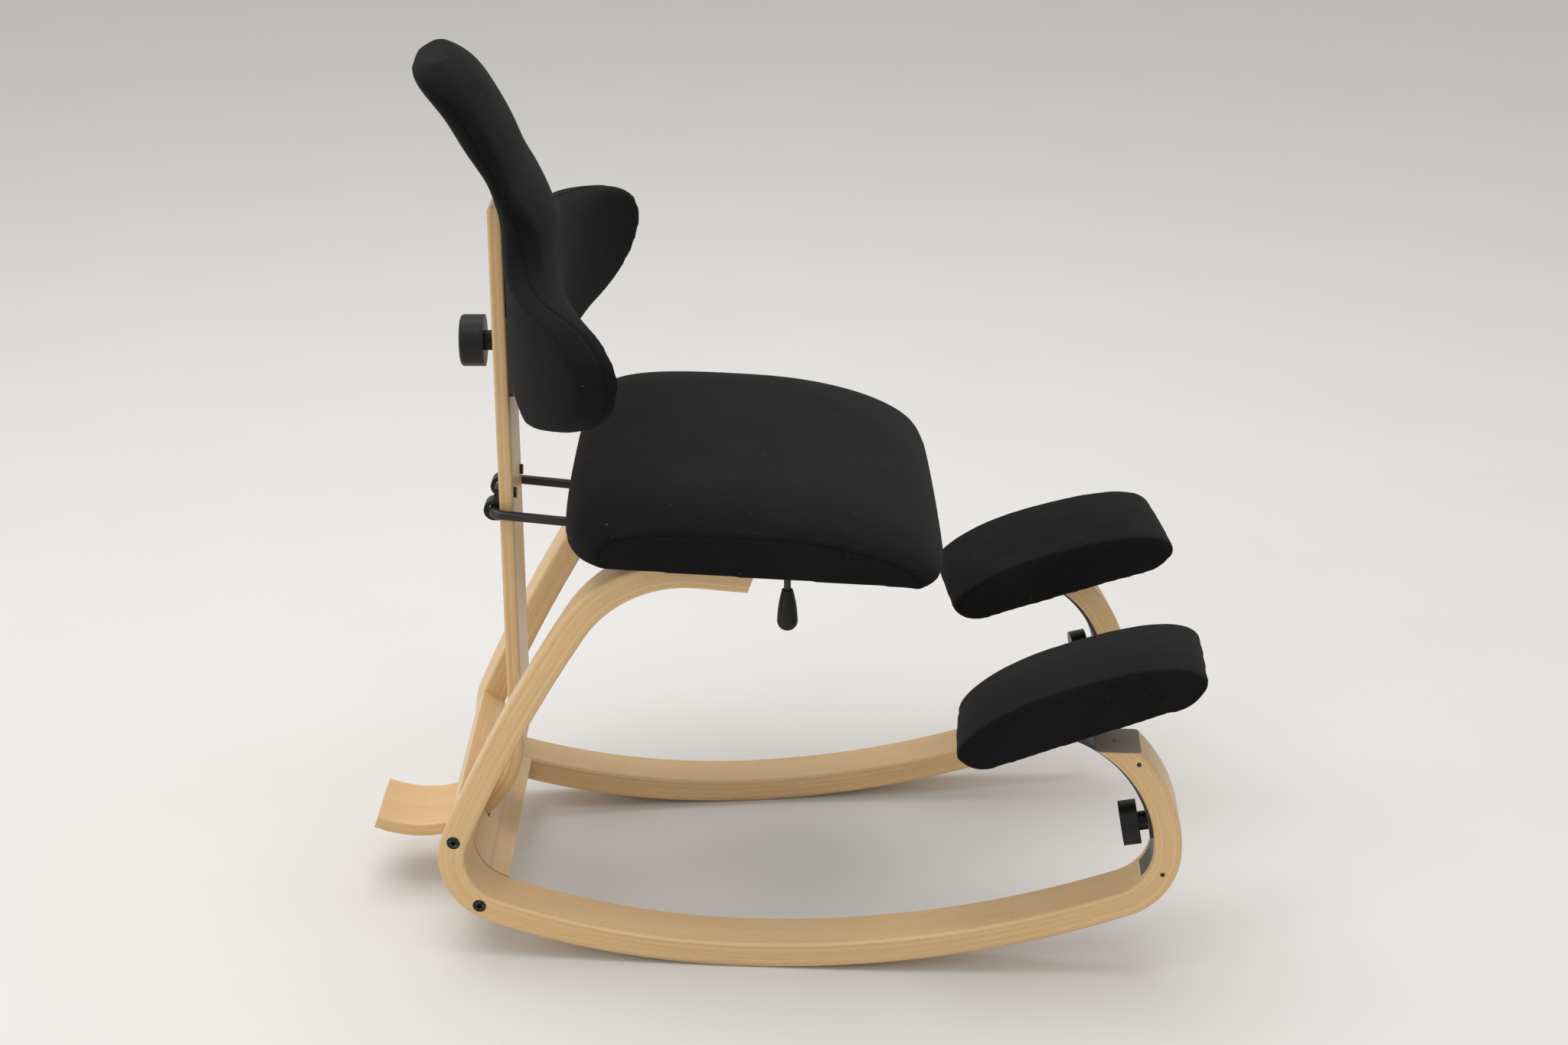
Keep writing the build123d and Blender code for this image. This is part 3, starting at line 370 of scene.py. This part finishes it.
def beech(name, laid, half_thick, veneer):
    """Pale beech under satin lacquer, with glue lines, fibres and flecks, painted highlights along its long
    edges, and a cut end drawn darker, partly end grain and partly painted shade.
    """
    finish = Finish(name, **{"Coat Roughness": 0.32, "IOR": 1.47})
    run, depth, out, height, cut_end = laid(finish)
    layer = (depth + half_thick) / veneer + 0.25
    sheet = layer.maths("FLOOR")
    inside = layer - sheet
    glue = finish.smooth(abs(inside - 0.5), 0.41, 0.5)
    shade = finish.node("ShaderNodeTexWhiteNoise", {"noise_dimensions": "1D"}, {"W": sheet})
    broad = finish.noise(finish.vector(run * 0.006, sheet * 0.7, out * 0.03), 1.0, 3.0)
    fibre = finish.noise(finish.vector(run * 0.05, depth * 1.1, out * 1.1), 1.0, 4.0, 0.6)
    fleck = finish.noise(finish.vector(run * 0.3, depth * 1.9, out * 1.9), 1.0, 1.0)
    flecks = finish.smooth(fleck, 0.60, 0.70)
    tone = broad * 0.6 + fibre * 0.45 + shade * 0.25
    pale = finish.mix(finish.smooth(tone, 0.35, 1.0), rgb(0.75, 0.515, 0.26), rgb(0.63, 0.395, 0.176))
    pale = finish.mix(flecks * 0.4, pale, rgb(0.39, 0.225, 0.1))
    pale = finish.mix(glue * 0.5, pale, rgb(0.42, 0.27, 0.14))
    # Painted highlight: the four long edges of each piece are drawn paler, standing in for the light caught
    # on their rounded corners.
    edge = finish.smooth(abs(out), 25.0, 28.0) * finish.smooth(abs(depth), 11.0, 14.0)
    pale = finish.mix(edge * 0.35, pale, rgb(0.75, 0.56, 0.325))
    # The runners' cut front ends are drawn grey-brown and darker: partly their real end grain, partly
    # painted shade from the pads above them.
    end_grain_and_shade = finish.mix(fibre, rgb(0.50, 0.40, 0.30), rgb(0.36, 0.28, 0.2))
    pale = finish.mix(cut_end, pale, end_grain_and_shade)
    scuff = finish.smooth(height, 14.0, 1.0) * finish.smooth(broad + fibre * 0.5, 0.6, 0.9)
    colour = finish.mix(scuff * 0.5, pale, rgb(0.33, 0.27, 0.2))
    rough = 0.36 + fibre * 0.14 + flecks * 0.08 + scuff * 0.2
    relief = fibre * 0.4 + flecks * -0.4 + glue * -0.5
    normal = finish.bump(relief, 0.25, 0.0002)
    finish.feed(Base_Color=colour, Roughness=rough, Normal=normal)
    finish.feed(Coat_Weight=0.22 - scuff * 0.2)
    return finish.material


def plywood(name):
    """Birch plywood of the boards under the pads, dark stained."""
    finish = Finish(name)
    x, y, z = finish.place()
    grain = finish.noise(finish.vector(x * 0.02, y * 0.5, z * 1.4), 1.0, 4.0, 0.6)
    colour = finish.mix(grain, rgb(0.045, 0.036, 0.03), rgb(0.09, 0.072, 0.055))
    normal = finish.bump(grain, 0.3, 0.0003)
    finish.feed(Base_Color=colour, Roughness=0.5 + grain * 0.2, Normal=normal)
    return finish.material


def woven(name):
    """Matte black woven wool, with yarn relief, fuzz, a little lint, and its seams, with painted shade in
    their grooves.
    """
    finish = Finish(name, **{"Sheen Weight": 0.03, "Sheen Roughness": 0.5, "Specular IOR Level": 0.1})
    spot = finish.node("ShaderNodeUVMap", {"uv_map": "weave"}, {})
    split = finish.node("ShaderNodeSeparateXYZ", {}, {0: spot}).socket.node.outputs
    u = Wire(finish, split["X"]) * TO_MM
    v = Wire(finish, split["Y"]) * TO_MM
    x, y, z = finish.place()
    body = finish.vector(x, y, z)
    wander = finish.noise(body, 0.09, 2.0) * 1.6
    warp = ((u + wander) * (pi / 0.95)).maths("SINE")
    weft = ((v + wander) * (pi / 1.1)).maths("SINE")
    yarn = warp * weft * 0.5 + 0.5
    slub = finish.noise(finish.vector(u * 0.25, v * 1.1, 0.0), 1.0, 2.0)
    fuzz = finish.noise(body, 1.4, 3.0, 0.65)
    worn = finish.smooth(finish.noise(body, 0.012, 3.0, 0.6), 0.45, 0.75)
    seam = finish.node("ShaderNodeAttribute", {"attribute_name": "seam"}, {}, out="Fac") * TO_MM
    seam_groove_and_shade = finish.smooth(seam, 1.5, 0.2)
    pucker = finish.smooth(seam, 14.0, 2.0) * finish.noise(finish.vector(u * 0.22, v * 0.22, 0.0), 1.0, 1.0)
    tone = yarn * 0.5 + slub * 0.35 + fuzz * 0.35
    deep = rgb(0.0034, 0.0031, 0.0032)
    lit = rgb(0.0118, 0.0108, 0.0111)
    colour = finish.mix(finish.smooth(tone, 0.3, 1.0), deep, lit)
    colour = finish.mix(worn * 0.22, colour, rgb(0.0215, 0.02, 0.0195))
    speck = finish.noise(body, 0.31, 1.0)
    lint = finish.smooth(speck, 0.795, 0.82)
    colour = finish.mix(lint * 0.5, colour, rgb(0.22, 0.21, 0.2))
    # Painted shade: the cloth within 1.5 mm of the seam is drawn near-black, standing in for the shade in
    # the seam's groove.
    colour = finish.mix(seam_groove_and_shade * 0.7, colour, rgb(0.0025, 0.0024, 0.0025))
    relief = finish.bump(yarn * 0.7 + slub * 0.4, 0.55, 0.0005)
    relief = finish.bump(fuzz, 0.35, 0.0004, relief)
    relief = finish.bump(seam_groove_and_shade * -1.0 + pucker * 0.5, 0.5, 0.0016, relief)
    finish.feed(Base_Color=colour, Roughness=0.86 + fuzz * 0.12, Normal=relief)
    return finish.material


def moulded(name):
    """Black moulded plastic with a fine spark texture."""
    finish = Finish(name, **{"Specular IOR Level": 0.3})
    x, y, z = finish.place()
    spot = finish.vector(x, y, z)
    grain = finish.noise(spot, 2.2, 2.0, 0.6)
    rub = finish.smooth(finish.noise(spot, 0.09, 3.0, 0.6), 0.5, 0.75)
    colour = finish.mix(rub * 0.6, rgb(0.005, 0.005, 0.0053), rgb(0.012, 0.012, 0.012))
    normal = finish.bump(grain, 0.3, 0.00025)
    finish.feed(Base_Color=colour, Roughness=0.34 + grain * 0.14 - rub * 0.06, Normal=normal)
    return finish.material


def lacquered_steel(name):
    """Black powder coat with slight orange peel."""
    finish = Finish(name, **{"Coat Roughness": 0.2})
    x, y, z = finish.place()
    spot = finish.vector(x, y, z)
    peel = finish.noise(spot, 0.55, 2.0)
    dust = finish.smooth(finish.noise(spot, 0.05, 3.0, 0.6), 0.5, 0.8)
    colour = finish.mix(dust * 0.5, rgb(0.009, 0.009, 0.0095), rgb(0.026, 0.025, 0.024))
    finish.feed(Base_Color=colour, Roughness=0.4 + dust * 0.12, Normal=finish.bump(peel, 0.2, 0.0004))
    finish.feed(Coat_Weight=0.16 - dust * 0.1)
    return finish.material


def dark_bolt(name):
    """Black-oxide bolts with bright rubbed spots."""
    finish = Finish(name, **{"Metallic": 1.0})
    x, y, z = finish.place()
    spot = finish.vector(x, y, z)
    rub = finish.smooth(finish.noise(spot, 0.35, 3.0, 0.6), 0.5, 0.72)
    colour = finish.mix(rub, rgb(0.035, 0.034, 0.033), rgb(0.15, 0.145, 0.14))
    finish.feed(Base_Color=colour, Roughness=0.42 - rub * 0.12)
    return finish.material


def pale_floor(name):
    """Plain pale floor, faintly clouded."""
    finish = Finish(name, **{"Specular IOR Level": 0.2})
    x, y, z = finish.place()
    cloud = finish.noise(finish.vector(x, y, z), 0.004, 3.0)
    colour = finish.mix(cloud, rgb(0.71, 0.70, 0.685), rgb(0.74, 0.73, 0.715))
    finish.feed(Base_Color=colour, Roughness=0.62 + cloud * 0.1)
    return finish.material


FABRIC = woven("black_weave")
SLOT_FINISH = {
    "black_plastic": moulded("black_moulding"),
    "black_steel": lacquered_steel("black_lacquer"),
    "bolt_steel": dark_bolt("dark_bolts"),
    "plywood": plywood("stained_board"),
    "black_fabric": FABRIC,
}
RUNNER_BEECH = beech("runner_beech", along_runner, HALF_THICK, 1.7)
POST_BEECH = beech("post_beech", along_post, 7.5, 1.765)
PANEL_BEECH = beech("panel_beech", along_panel, HALF_THICK, 1.7)
BEECH = {"back_post": POST_BEECH, "rear_panel": PANEL_BEECH}
for row in frame["record"]["subparts"]:
    dressed = SLOT_FINISH.get(row["material_slot"]) or BEECH.get(row["node"], RUNNER_BEECH)
    slots = nodes[row["node"]].data.materials
    slots.clear()
    slots.append(dressed)


# Soft pads
def alone(piece):
    bpy.ops.object.select_all(action="DESELECT")
    bpy.context.view_layer.objects.active = piece
    piece.select_set(True)


def loose_copy(node, name):
    """A copy of a cushion's solid, its corners merged."""
    mesh = nodes[node].data.copy()
    mesh.materials.clear()
    piece = bpy.data.objects.new(name, mesh)
    bpy.context.scene.collection.objects.link(piece)
    alone(piece)
    bpy.ops.object.mode_set(mode="EDIT")
    bpy.ops.mesh.select_all(action="SELECT")
    bpy.ops.mesh.remove_doubles(threshold=0.00005)
    bpy.ops.object.mode_set(mode="OBJECT")
    return piece


def apply_all(piece):
    alone(piece)
    for modifier in list(piece.modifiers):
        bpy.ops.object.modifier_apply(modifier=modifier.name)


def curve_points(corners, step=0.001):
    """Points along a curve given by its four control points."""
    first, second, third, fourth = corners
    count = max(int((fourth - first).length / step), 2)
    for i in range(count + 1):
        t = i / count
        s = 1 - t
        yield s**3 * first + 3 * s * s * t * second + 3 * s * t * t * third + t**3 * fourth


def tree_of(points):
    tree = KDTree(len(points))
    for i, point in enumerate(points):
        tree.insert(point, i)
    tree.balance()
    return tree


def surface_of(piece):
    faces = [face.vertices[:] for face in piece.data.polygons]
    return BVHTree.FromPolygons([vertex.co for vertex in piece.data.vertices], faces)


def weights(piece, name, value):
    group = piece.vertex_groups.new(name=name)
    for vertex in piece.data.vertices:
        group.add([vertex.index], value(vertex), "REPLACE")


def stuffed(node, name, seam_points, held, cell, pull, cap):
    """A padded piece: the solid remeshed, drawn in a little, then swollen between its seams."""
    piece = loose_copy(node, name)
    solid = surface_of(piece)
    seam_tree = tree_of([solid.find_nearest(point)[0] for point in seam_points])
    piece.data.remesh_voxel_size = cell
    alone(piece)
    bpy.ops.object.voxel_remesh()
    for vertex in piece.data.vertices:
        near, _, gap = seam_tree.find(vertex.co)
        if gap < 0.75 * cell:
            vertex.co = near
    weights(piece, "free", lambda v: min(max(seam_tree.find(v.co)[2] / (2.0 * cell) - 0.3, 0.0), 1.0))
    soften = piece.modifiers.new("soften", "SMOOTH")
    soften.factor = 0.5
    soften.iterations = 8
    soften.vertex_group = "free"
    apply_all(piece)
    weights(piece, "slack", lambda v: 0.0 if held(v) else min(seam_tree.find(v.co)[2] / SEAM_SPREAD, 1.0))
    draw_in = piece.modifiers.new("draw_in", "DISPLACE")
    draw_in.strength = -pull
    draw_in.mid_level = 0.0
    draw_in.vertex_group = "slack"
    apply_all(piece)
    start = [vertex.co.copy() for vertex in piece.data.vertices]
    weights(piece, "pinned", lambda v: 1.0 if held(v) or seam_tree.find(v.co)[2] < cell else 0.0)
    cloth = piece.modifiers.new("swell", "CLOTH")
    cloth.settings.quality = 5
    cloth.settings.mass = 0.3
    cloth.settings.tension_stiffness = 12.0
    cloth.settings.compression_stiffness = 12.0
    cloth.settings.shear_stiffness = 4.0
    cloth.settings.bending_stiffness = 1.0
    cloth.settings.use_pressure = True
    cloth.settings.uniform_pressure_force = 7.0
    cloth.settings.effector_weights.gravity = 0.0
    cloth.settings.vertex_group_mass = "pinned"
    scene = bpy.context.scene
    for moment in range(1, SWELL_MOMENTS + 1):
        scene.frame_set(moment)
    swollen = piece.evaluated_get(bpy.context.evaluated_depsgraph_get()).to_mesh()
    ends = [vertex.co.copy() for vertex in swollen.vertices]
    piece.modifiers.remove(cloth)
    scene.frame_set(1)
    for vertex, first, last in zip(piece.data.vertices, start, ends):
        move = last - first
        if move.length > cap:
            move = move * (cap / move.length)
        vertex.co = first + move
    weights(piece, "loose", lambda v: 0.0 if held(v) else 1.0)
    settle = piece.modifiers.new("settle", "SMOOTH")
    settle.factor = 0.5
    settle.iterations = 2
    settle.vertex_group = "loose"
    finer = piece.modifiers.new("finer", "SUBSURF")
    finer.levels = finer.render_levels = 1
    apply_all(piece)
    piece.vertex_groups.clear()
    return piece


def sew(piece, points):
    """Press a seam into a pad, keep each point's distance from it, and refine the cloth beside it."""
    surface = surface_of(piece)
    seam = tree_of([surface.find_nearest(point)[0] for point in points])
    alone(piece)
    bpy.ops.object.mode_set(mode="EDIT")
    bpy.ops.mesh.select_mode(type="FACE")
    bpy.ops.mesh.select_all(action="DESELECT")
    bpy.ops.object.mode_set(mode="OBJECT")
    for face in piece.data.polygons:
        face.select = seam.find(face.center)[2] < FINE_BESIDE
    bpy.ops.object.mode_set(mode="EDIT")
    bpy.ops.mesh.subdivide(number_cuts=1, smoothness=0.6)
    bpy.ops.object.mode_set(mode="OBJECT")
    mesh = piece.data
    distance = mesh.attributes.new("seam", "FLOAT", "POINT")
    moves = []
    for vertex in mesh.vertices:
        gap = seam.find(vertex.co)[2]
        distance.data[vertex.index].value = min(gap, SEAM_SPREAD)
        dip = -GROOVE * exp(-((gap / GROOVE_REACH) ** 2))
        roll = 0.45 * GROOVE * exp(-(((gap - 2.6 * GROOVE_REACH) / (1.2 * GROOVE_REACH)) ** 2))
        moves.append(vertex.normal * (dip + roll))
    for vertex, move in zip(mesh.vertices, moves):
        vertex.co += move


def lay_weave(piece, axes):
    """Lay the weave over each face along the pad's own length and width."""
    along, across, up = axes
    layer = piece.data.uv_layers.new(name="weave")
    corners = layer.data
    for face in piece.data.polygons:
        tilt = [abs(face.normal.dot(axis)) for axis in (along, across, up)]
        if tilt[2] >= max(tilt[:2]):
            first, second = along, across
        elif tilt[1] >= tilt[0]:
            first, second = along, up
        else:
            first, second = up, across
        for corner in face.loop_indices:
            spot = piece.data.vertices[piece.data.loops[corner].vertex_index].co
            corners[corner].uv = (spot.dot(first), spot.dot(second))


def dress_pad(piece, node, body):
    piece.data.materials.append(FABRIC)
    alone(piece)
    bpy.ops.object.shade_smooth()
    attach(piece, body)
    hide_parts(node)


def flat_pad(node, name, body, frame_of_pad, shape, cell):
    """A pad on a board, with an upright panel let in along each side; its underside is held."""
    middle, along, across = frame_of_pad
    up = along.cross(across)
    half_wide, back, front, high, profile = shape
    rear_tip, rear_rise, rear_reach, peak, front_reach, front_rise, front_tip = profile

    def held(vertex):
        return (vertex.co - middle).dot(up) < 0.0135 and vertex.normal.dot(up) < 0.2

    rim = []
    for side in (-half_wide, half_wide):

        def spot(share, rise):
            return middle + along * (back + share * (front - back)) + across * side + up * (rise * high)

        top = spot(peak, 1)
        rim.extend(curve_points([spot(0, rear_tip), spot(0, rear_rise), spot(rear_reach, 1), top]))
        rim.extend(curve_points([top, spot(front_reach, 1), spot(1, front_rise), spot(1, front_tip)]))
    piece = stuffed(node, name, rim, held, cell, 0.0015, 0.006)
    sew(piece, rim)
    lay_weave(piece, (along, across, up))
    dress_pad(piece, node, body)
    return piece


seat_frame = (SEAT_MIDDLE, SEAT_DIR, Vector((0.0, 1.0, 0.0)))
flat_pad("seat_cushion", "seat_pad", "frame", seat_frame, SEAT_SHAPE, 0.005)

for side, turn in KNEE_SET.items():
    lift = KNEE_PLANE + (KNEE_SPOT[0] - KNEE_HUB.x) * sin(KNEE_TILT)
    middle = Vector((*KNEE_SPOT, KNEE_HUB.z + lift / cos(KNEE_TILT)))
    along = Vector((cos(KNEE_TILT) * cos(TOE), -cos(KNEE_TILT) * sin(TOE), sin(KNEE_TILT)))
    across = Matrix.Rotation(-KNEE_ROLL, 3, along) @ Vector((sin(TOE), cos(TOE), 0.0))
    swing = Matrix.Rotation(turn, 3, Vector((-sin(TOE), -cos(TOE), 0.0)))
    middle = (swing @ (middle - KNEE_HUB) + KNEE_HUB) * MM
    along = swing @ along
    across = swing @ across
    if side == "left":
        middle.y, along.y, across.x, across.z = -middle.y, -along.y, -across.x, -across.z
    pad_frame = (middle, along, across)
    flat_pad(f"knee_pad_{side}", f"knee_cushion_{side}", f"knee_{side}", pad_frame, KNEE_SHAPE, 0.004)


# Backrest
def back_face(z, radius):
    """Where a face of the backrest stands at a height: upright, then round a bend, then leaning."""
    rise = max(z - BACK_BEND_Z, 0.0)
    bent = min(rise, radius * sin(BACK_LEAN))
    axis = BACK_REAR + BACK_THICK / 2 - BACK_BEND
    return axis + sqrt(radius**2 - bent**2) - (rise - bent) * sin(BACK_LEAN) / cos(BACK_LEAN)


def back_seam():
    """The seam round the backrest's edge, which crosses the back of the head below its top."""
    right = []
    for z, half, rear_in, front_in in BACK_LEVELS:
        if z > HEAD_SEAM_Z:
            break
        rear = back_face(z, BACK_BEND - BACK_THICK / 2) + rear_in
        front = back_face(z, BACK_BEND + BACK_THICK / 2) - front_in
        wrap = WING_WRAP - sqrt(WING_WRAP**2 - half**2)
        share = min(max((half - COLUMN_HALF) / WING_BLEND, 0.0), 1.0)
        depth = HEAD_SEAM_DEPTH if z > HEAD_TURN_Z else 0.5
        middle = rear + (front - rear) * depth + (wrap + WING_SEAM_FORWARD) * share
        right.append(Vector((middle, -half - SEAM_OUT, z)))
    head_rear = back_face(HEAD_SEAM_Z, BACK_BEND - BACK_THICK / 2)
    right.append(Vector((head_rear + HEAD_SEAM_IN, -HEAD_SEAM_HALF, HEAD_SEAM_Z)))
    left = [Vector((p.x, -p.y, p.z)) for p in reversed(right)]
    ring = right + left
    points = []
    for i in range(len(ring)):
        before, first, second, after = (ring[(i + k) % len(ring)] for k in (-1, 0, 1, 2))
        count = max(int((second - first).length), 1)
        for k in range(count):
            t = k / count
            points.append(
                0.5
                * (
                    2 * first
                    + (second - before) * t
                    + (2 * before - 5 * first + 4 * second - after) * t**2
                    + (3 * first - before - 3 * second + after) * t**3
                )
            )
    pivot = Vector((0.0, 0.0, CLAMP_Z))
    turn = Matrix.Rotation(BACK_TURN, 3, "X")
    return [turn @ (p * MM - pivot) + pivot for p in points]


def back_held(vertex):
    """The back of the column, which lies against its plate and the post."""
    return vertex.normal.x < -0.5 and vertex.co.z < 0.86 and abs(vertex.co.y) < 0.055


backrest = stuffed("back_cushion", "back_pad", back_seam(), back_held, 0.0045, 0.0003, 0.003)
sew(backrest, back_seam())
for vertex in backrest.data.vertices:
    if abs(vertex.co.y) < POST_HALF * MM and vertex.co.z < POST_REACH * MM:
        vertex.co.x = max(vertex.co.x, BACK_REAR * MM)
lay_weave(backrest, (Vector((0.0, 0.0, 1.0)), Vector((0.0, 1.0, 0.0)), Vector((1.0, 0.0, 0.0))))
dress_pad(backrest, "back_cushion", "backrest")


# Floor, light and camera
alone(backrest)
bpy.ops.object.select_all(action="DESELECT")
bpy.ops.mesh.primitive_plane_add(size=60.0, location=(0.0, 0.0, 0.0))
floor = bpy.context.object
floor.name = "floor"
floor.data.materials.append(pale_floor("pale_floor"))

scene = bpy.context.scene
world = bpy.data.worlds.new("studio")
scene.world = world
world.use_nodes = True
world.node_tree.nodes["Background"].inputs["Color"].default_value = rgb(1.0, 0.985, 0.96)
world.node_tree.nodes["Background"].inputs["Strength"].default_value = 0.64


def soft_box(name, place, target, size, power):
    lamp = bpy.data.lights.new(name, "AREA")
    lamp.shape = "RECTANGLE"
    lamp.size, lamp.size_y = size
    lamp.energy = power
    box = bpy.data.objects.new(name, lamp)
    scene.collection.objects.link(box)
    box.location = place
    box.rotation_euler = (Vector(target) - Vector(place)).to_track_quat("-Z", "Y").to_euler()
    return box


soft_box("overhead", (-0.4, 0.1, 3.6), (0.05, 0.25, 0.3), (3.4, 3.2), 88.0)
soft_box("side_fill", (-2.6, -2.6, 2.0), (0.0, 0.0, 0.45), (1.6, 1.6), 20.0)

LENS = 57.5
EYE = (0.0263, -2.493, 1.375)
EYE_DOWN = radians(21.05)
EYE_TURN = radians(-0.43)
camera = bpy.data.cameras.new("photo_camera")
camera.lens = LENS
camera.sensor_width = 36.0
camera.clip_end = 100.0
eye = bpy.data.objects.new("photo_camera", camera)
scene.collection.objects.link(eye)
eye.location = EYE
eye.rotation_euler = (pi / 2 - EYE_DOWN, 0.0, EYE_TURN)
scene.camera = eye
scene.view_settings.view_transform = "Standard"
